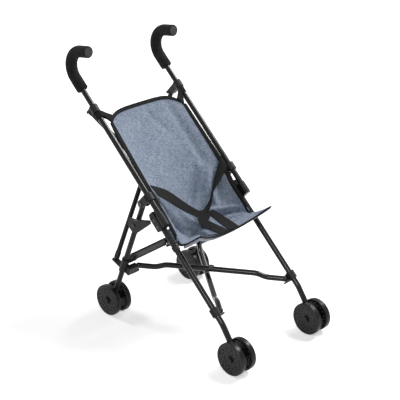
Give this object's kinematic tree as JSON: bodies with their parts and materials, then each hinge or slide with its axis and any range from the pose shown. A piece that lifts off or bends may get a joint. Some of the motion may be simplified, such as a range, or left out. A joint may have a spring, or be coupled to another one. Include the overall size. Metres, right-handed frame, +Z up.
{
  "type": "doll stroller",
  "caption": "Folding doll stroller with leaning side frames, crossed braces, paired wheels, hooked foam grips and a cloth sling seat with a harness.",
  "frame": {"origin": "floor level, at the middle of the object's length and width", "axes": "+Z up, front towards -Y, +X towards the right-hand side frame seen from the seat's front"},
  "size_m": [0.2758, 0.4934, 0.5558],
  "materials": {
    "frame_paint": "gloss black paint",
    "leg_paint": "satin dark grey paint",
    "bracket_plastic": "matte black moulding",
    "foam": "matte black foam",
    "wheel_plastic": "satin black moulding",
    "steel": "dark steel",
    "seat_cloth": "blue chambray weave",
    "binding": "black woven tape",
    "webbing": "black webbing"
  },
  "bodies": {
    "left_frame": {"left_handle_tube": "frame_paint", "left_grip": "foam", "left_grip_plug": "bracket_plastic", "left_front_tube": "frame_paint", "left_frame_joiner": "bracket_plastic", "left_pivot_clamp": "bracket_plastic", "left_upper_bracket": "bracket_plastic", "left_front_bracket": "bracket_plastic", "left_seat_clip": "bracket_plastic", "left_frame_rivets": "steel", "left_front_axle": "steel", "seat_sling": "seat_cloth", "seat_side_binding": "binding", "seat_top_binding": "binding", "seat_front_binding": "binding", "seat_top_tabs": "webbing", "harness_left_strap": "webbing", "harness_right_strap": "webbing", "harness_patch": "webbing", "harness_crotch_strap": "webbing"},
    "right_frame": {"right_handle_tube": "frame_paint", "right_grip": "foam", "right_grip_plug": "bracket_plastic", "right_front_tube": "frame_paint", "right_frame_joiner": "bracket_plastic", "right_pivot_clamp": "bracket_plastic", "right_upper_bracket": "bracket_plastic", "right_front_bracket": "bracket_plastic", "right_seat_clip": "bracket_plastic", "right_frame_rivets": "steel", "right_front_axle": "steel"},
    "left_rear_leg": {"left_rear_leg": "leg_paint", "left_lower_bracket": "bracket_plastic", "left_lock_bracket": "bracket_plastic", "left_leg_rivets": "steel", "left_rear_axle": "steel"},
    "left_lock_lever": {"left_lock_lever": "leg_paint"},
    "left_rear_link": {"left_rear_link": "leg_paint"},
    "left_back_brace": {"left_back_brace": "frame_paint", "left_back_brace_cap": "bracket_plastic"},
    "left_seat_brace": {"left_seat_brace": "frame_paint"},
    "left_front_outer_wheel": {"left_front_outer_wheel": "wheel_plastic"},
    "left_front_inner_wheel": {"left_front_inner_wheel": "wheel_plastic"},
    "left_rear_outer_wheel": {"left_rear_outer_wheel": "wheel_plastic"},
    "left_rear_inner_wheel": {"left_rear_inner_wheel": "wheel_plastic"},
    "right_rear_leg": {"right_rear_leg": "leg_paint", "right_lower_bracket": "bracket_plastic", "right_lock_bracket": "bracket_plastic", "right_leg_rivets": "steel", "right_rear_axle": "steel"},
    "right_lock_lever": {"right_lock_lever": "leg_paint"},
    "right_rear_link": {"right_rear_link": "leg_paint"},
    "right_back_brace": {"right_back_brace": "frame_paint", "right_back_brace_cap": "bracket_plastic"},
    "right_seat_brace": {"right_seat_brace": "frame_paint", "seat_brace_pivot": "steel"},
    "right_front_outer_wheel": {"right_front_outer_wheel": "wheel_plastic"},
    "right_front_inner_wheel": {"right_front_inner_wheel": "wheel_plastic"},
    "right_rear_outer_wheel": {"right_rear_outer_wheel": "wheel_plastic"},
    "right_rear_inner_wheel": {"right_rear_inner_wheel": "wheel_plastic"}
  },
  "joints": [
    {"name": "fold", "type": "slide", "parent": "left_frame", "child": "right_frame", "axis": [-1, 0, 0], "range_m": [0, 0.14], "deforming": ["seat_sling", "seat_side_binding", "seat_top_binding", "seat_front_binding", "seat_top_tabs", "harness_left_strap", "harness_right_strap", "harness_patch", "harness_crotch_strap"]},
    {"name": "left_leg_fold", "type": "hinge", "parent": "left_frame", "child": "left_rear_leg", "pos_m": [-0.115, 0.03089, 0.2737], "axis": [-1, 0, 0], "range_deg": [0, 54.04]},
    {"name": "left_lock_lift", "type": "hinge", "parent": "left_rear_leg", "child": "left_lock_lever", "pos_m": [-0.1221, 0.05153, 0.22272], "axis": [-1, 0, 0], "range_deg": [0, 12.01]},
    {"name": "left_link_fold", "type": "hinge", "parent": "left_rear_leg", "child": "left_rear_link", "pos_m": [-0.093, 0.08792, 0.13281], "axis": [0, 0.9269, 0.3752], "range_deg": [0, 70]},
    {"name": "left_back_brace_swing", "type": "hinge", "parent": "left_frame", "child": "left_back_brace", "pos_m": [-0.114, 0.17826, 0.42138], "axis": [-0.5544, 0.5995, -0.5772], "range_deg": [0, 30.03]},
    {"name": "left_seat_brace_swing", "type": "hinge", "parent": "right_rear_leg", "child": "left_seat_brace", "pos_m": [0.085, 0.08355, 0.11162], "axis": [-0.7943, 0.589, 0.1488], "range_deg": [0, 70.31]},
    {"name": "right_leg_fold", "type": "hinge", "parent": "right_frame", "child": "right_rear_leg", "pos_m": [0.115, 0.03089, 0.2737], "axis": [-1, 0, 0], "range_deg": [0, 54.04]},
    {"name": "right_lock_lift", "type": "hinge", "parent": "right_rear_leg", "child": "right_lock_lever", "pos_m": [0.1221, 0.05153, 0.22272], "axis": [-1, 0, 0], "range_deg": [0, 12.01]},
    {"name": "right_link_fold", "type": "hinge", "parent": "right_rear_leg", "child": "right_rear_link", "pos_m": [0.093, 0.08792, 0.13281], "axis": [0, -0.9269, -0.3752], "range_deg": [0, 70]},
    {"name": "right_back_brace_swing", "type": "hinge", "parent": "right_frame", "child": "right_back_brace", "pos_m": [0.114, 0.19034, 0.40844], "axis": [-0.5281, -0.6016, 0.5993], "range_deg": [0, 30.78]},
    {"name": "right_seat_brace_swing", "type": "hinge", "parent": "left_rear_leg", "child": "right_seat_brace", "pos_m": [-0.085, 0.08355, 0.11162], "axis": [-0.7943, -0.589, -0.1488], "range_deg": [0, 70.31]},
    {"name": "left_front_outer_wheel_spin", "type": "hinge", "parent": "left_frame", "child": "left_front_outer_wheel", "pos_m": [-0.1238, -0.21368, 0.033], "axis": [1, 0, 0], "continuous": true},
    {"name": "left_front_inner_wheel_spin", "type": "hinge", "parent": "left_frame", "child": "left_front_inner_wheel", "pos_m": [-0.0962, -0.21368, 0.033], "axis": [1, 0, 0], "continuous": true},
    {"name": "left_rear_outer_wheel_spin", "type": "hinge", "parent": "left_rear_leg", "child": "left_rear_outer_wheel", "pos_m": [-0.1288, 0.12832, 0.033], "axis": [1, 0, 0], "continuous": true},
    {"name": "left_rear_inner_wheel_spin", "type": "hinge", "parent": "left_rear_leg", "child": "left_rear_inner_wheel", "pos_m": [-0.1012, 0.12832, 0.033], "axis": [1, 0, 0], "continuous": true},
    {"name": "right_front_outer_wheel_spin", "type": "hinge", "parent": "right_frame", "child": "right_front_outer_wheel", "pos_m": [0.1238, -0.21368, 0.033], "axis": [1, 0, 0], "continuous": true},
    {"name": "right_front_inner_wheel_spin", "type": "hinge", "parent": "right_frame", "child": "right_front_inner_wheel", "pos_m": [0.0962, -0.21368, 0.033], "axis": [1, 0, 0], "continuous": true},
    {"name": "right_rear_outer_wheel_spin", "type": "hinge", "parent": "right_rear_leg", "child": "right_rear_outer_wheel", "pos_m": [0.1288, 0.12832, 0.033], "axis": [1, 0, 0], "continuous": true},
    {"name": "right_rear_inner_wheel_spin", "type": "hinge", "parent": "right_rear_leg", "child": "right_rear_inner_wheel", "pos_m": [0.1012, 0.12832, 0.033], "axis": [1, 0, 0], "continuous": true}
  ],
  "couplings": [
    {"joint": "left_leg_fold", "follows": "fold", "rad_per_m": 6.7365},
    {"joint": "left_lock_lift", "follows": "fold", "rad_per_m": 1.496},
    {"joint": "left_link_fold", "follows": "fold", "rad_per_m": 8.7266},
    {"joint": "left_back_brace_swing", "follows": "fold", "rad_per_m": 3.7431},
    {"joint": "left_seat_brace_swing", "follows": "fold", "rad_per_m": 8.7651},
    {"joint": "right_leg_fold", "follows": "fold", "rad_per_m": 6.7365},
    {"joint": "right_lock_lift", "follows": "fold", "rad_per_m": 1.496},
    {"joint": "right_link_fold", "follows": "fold", "rad_per_m": 8.7266},
    {"joint": "right_back_brace_swing", "follows": "fold", "rad_per_m": 3.8363},
    {"joint": "right_seat_brace_swing", "follows": "fold", "rad_per_m": 8.7651}
  ]
}
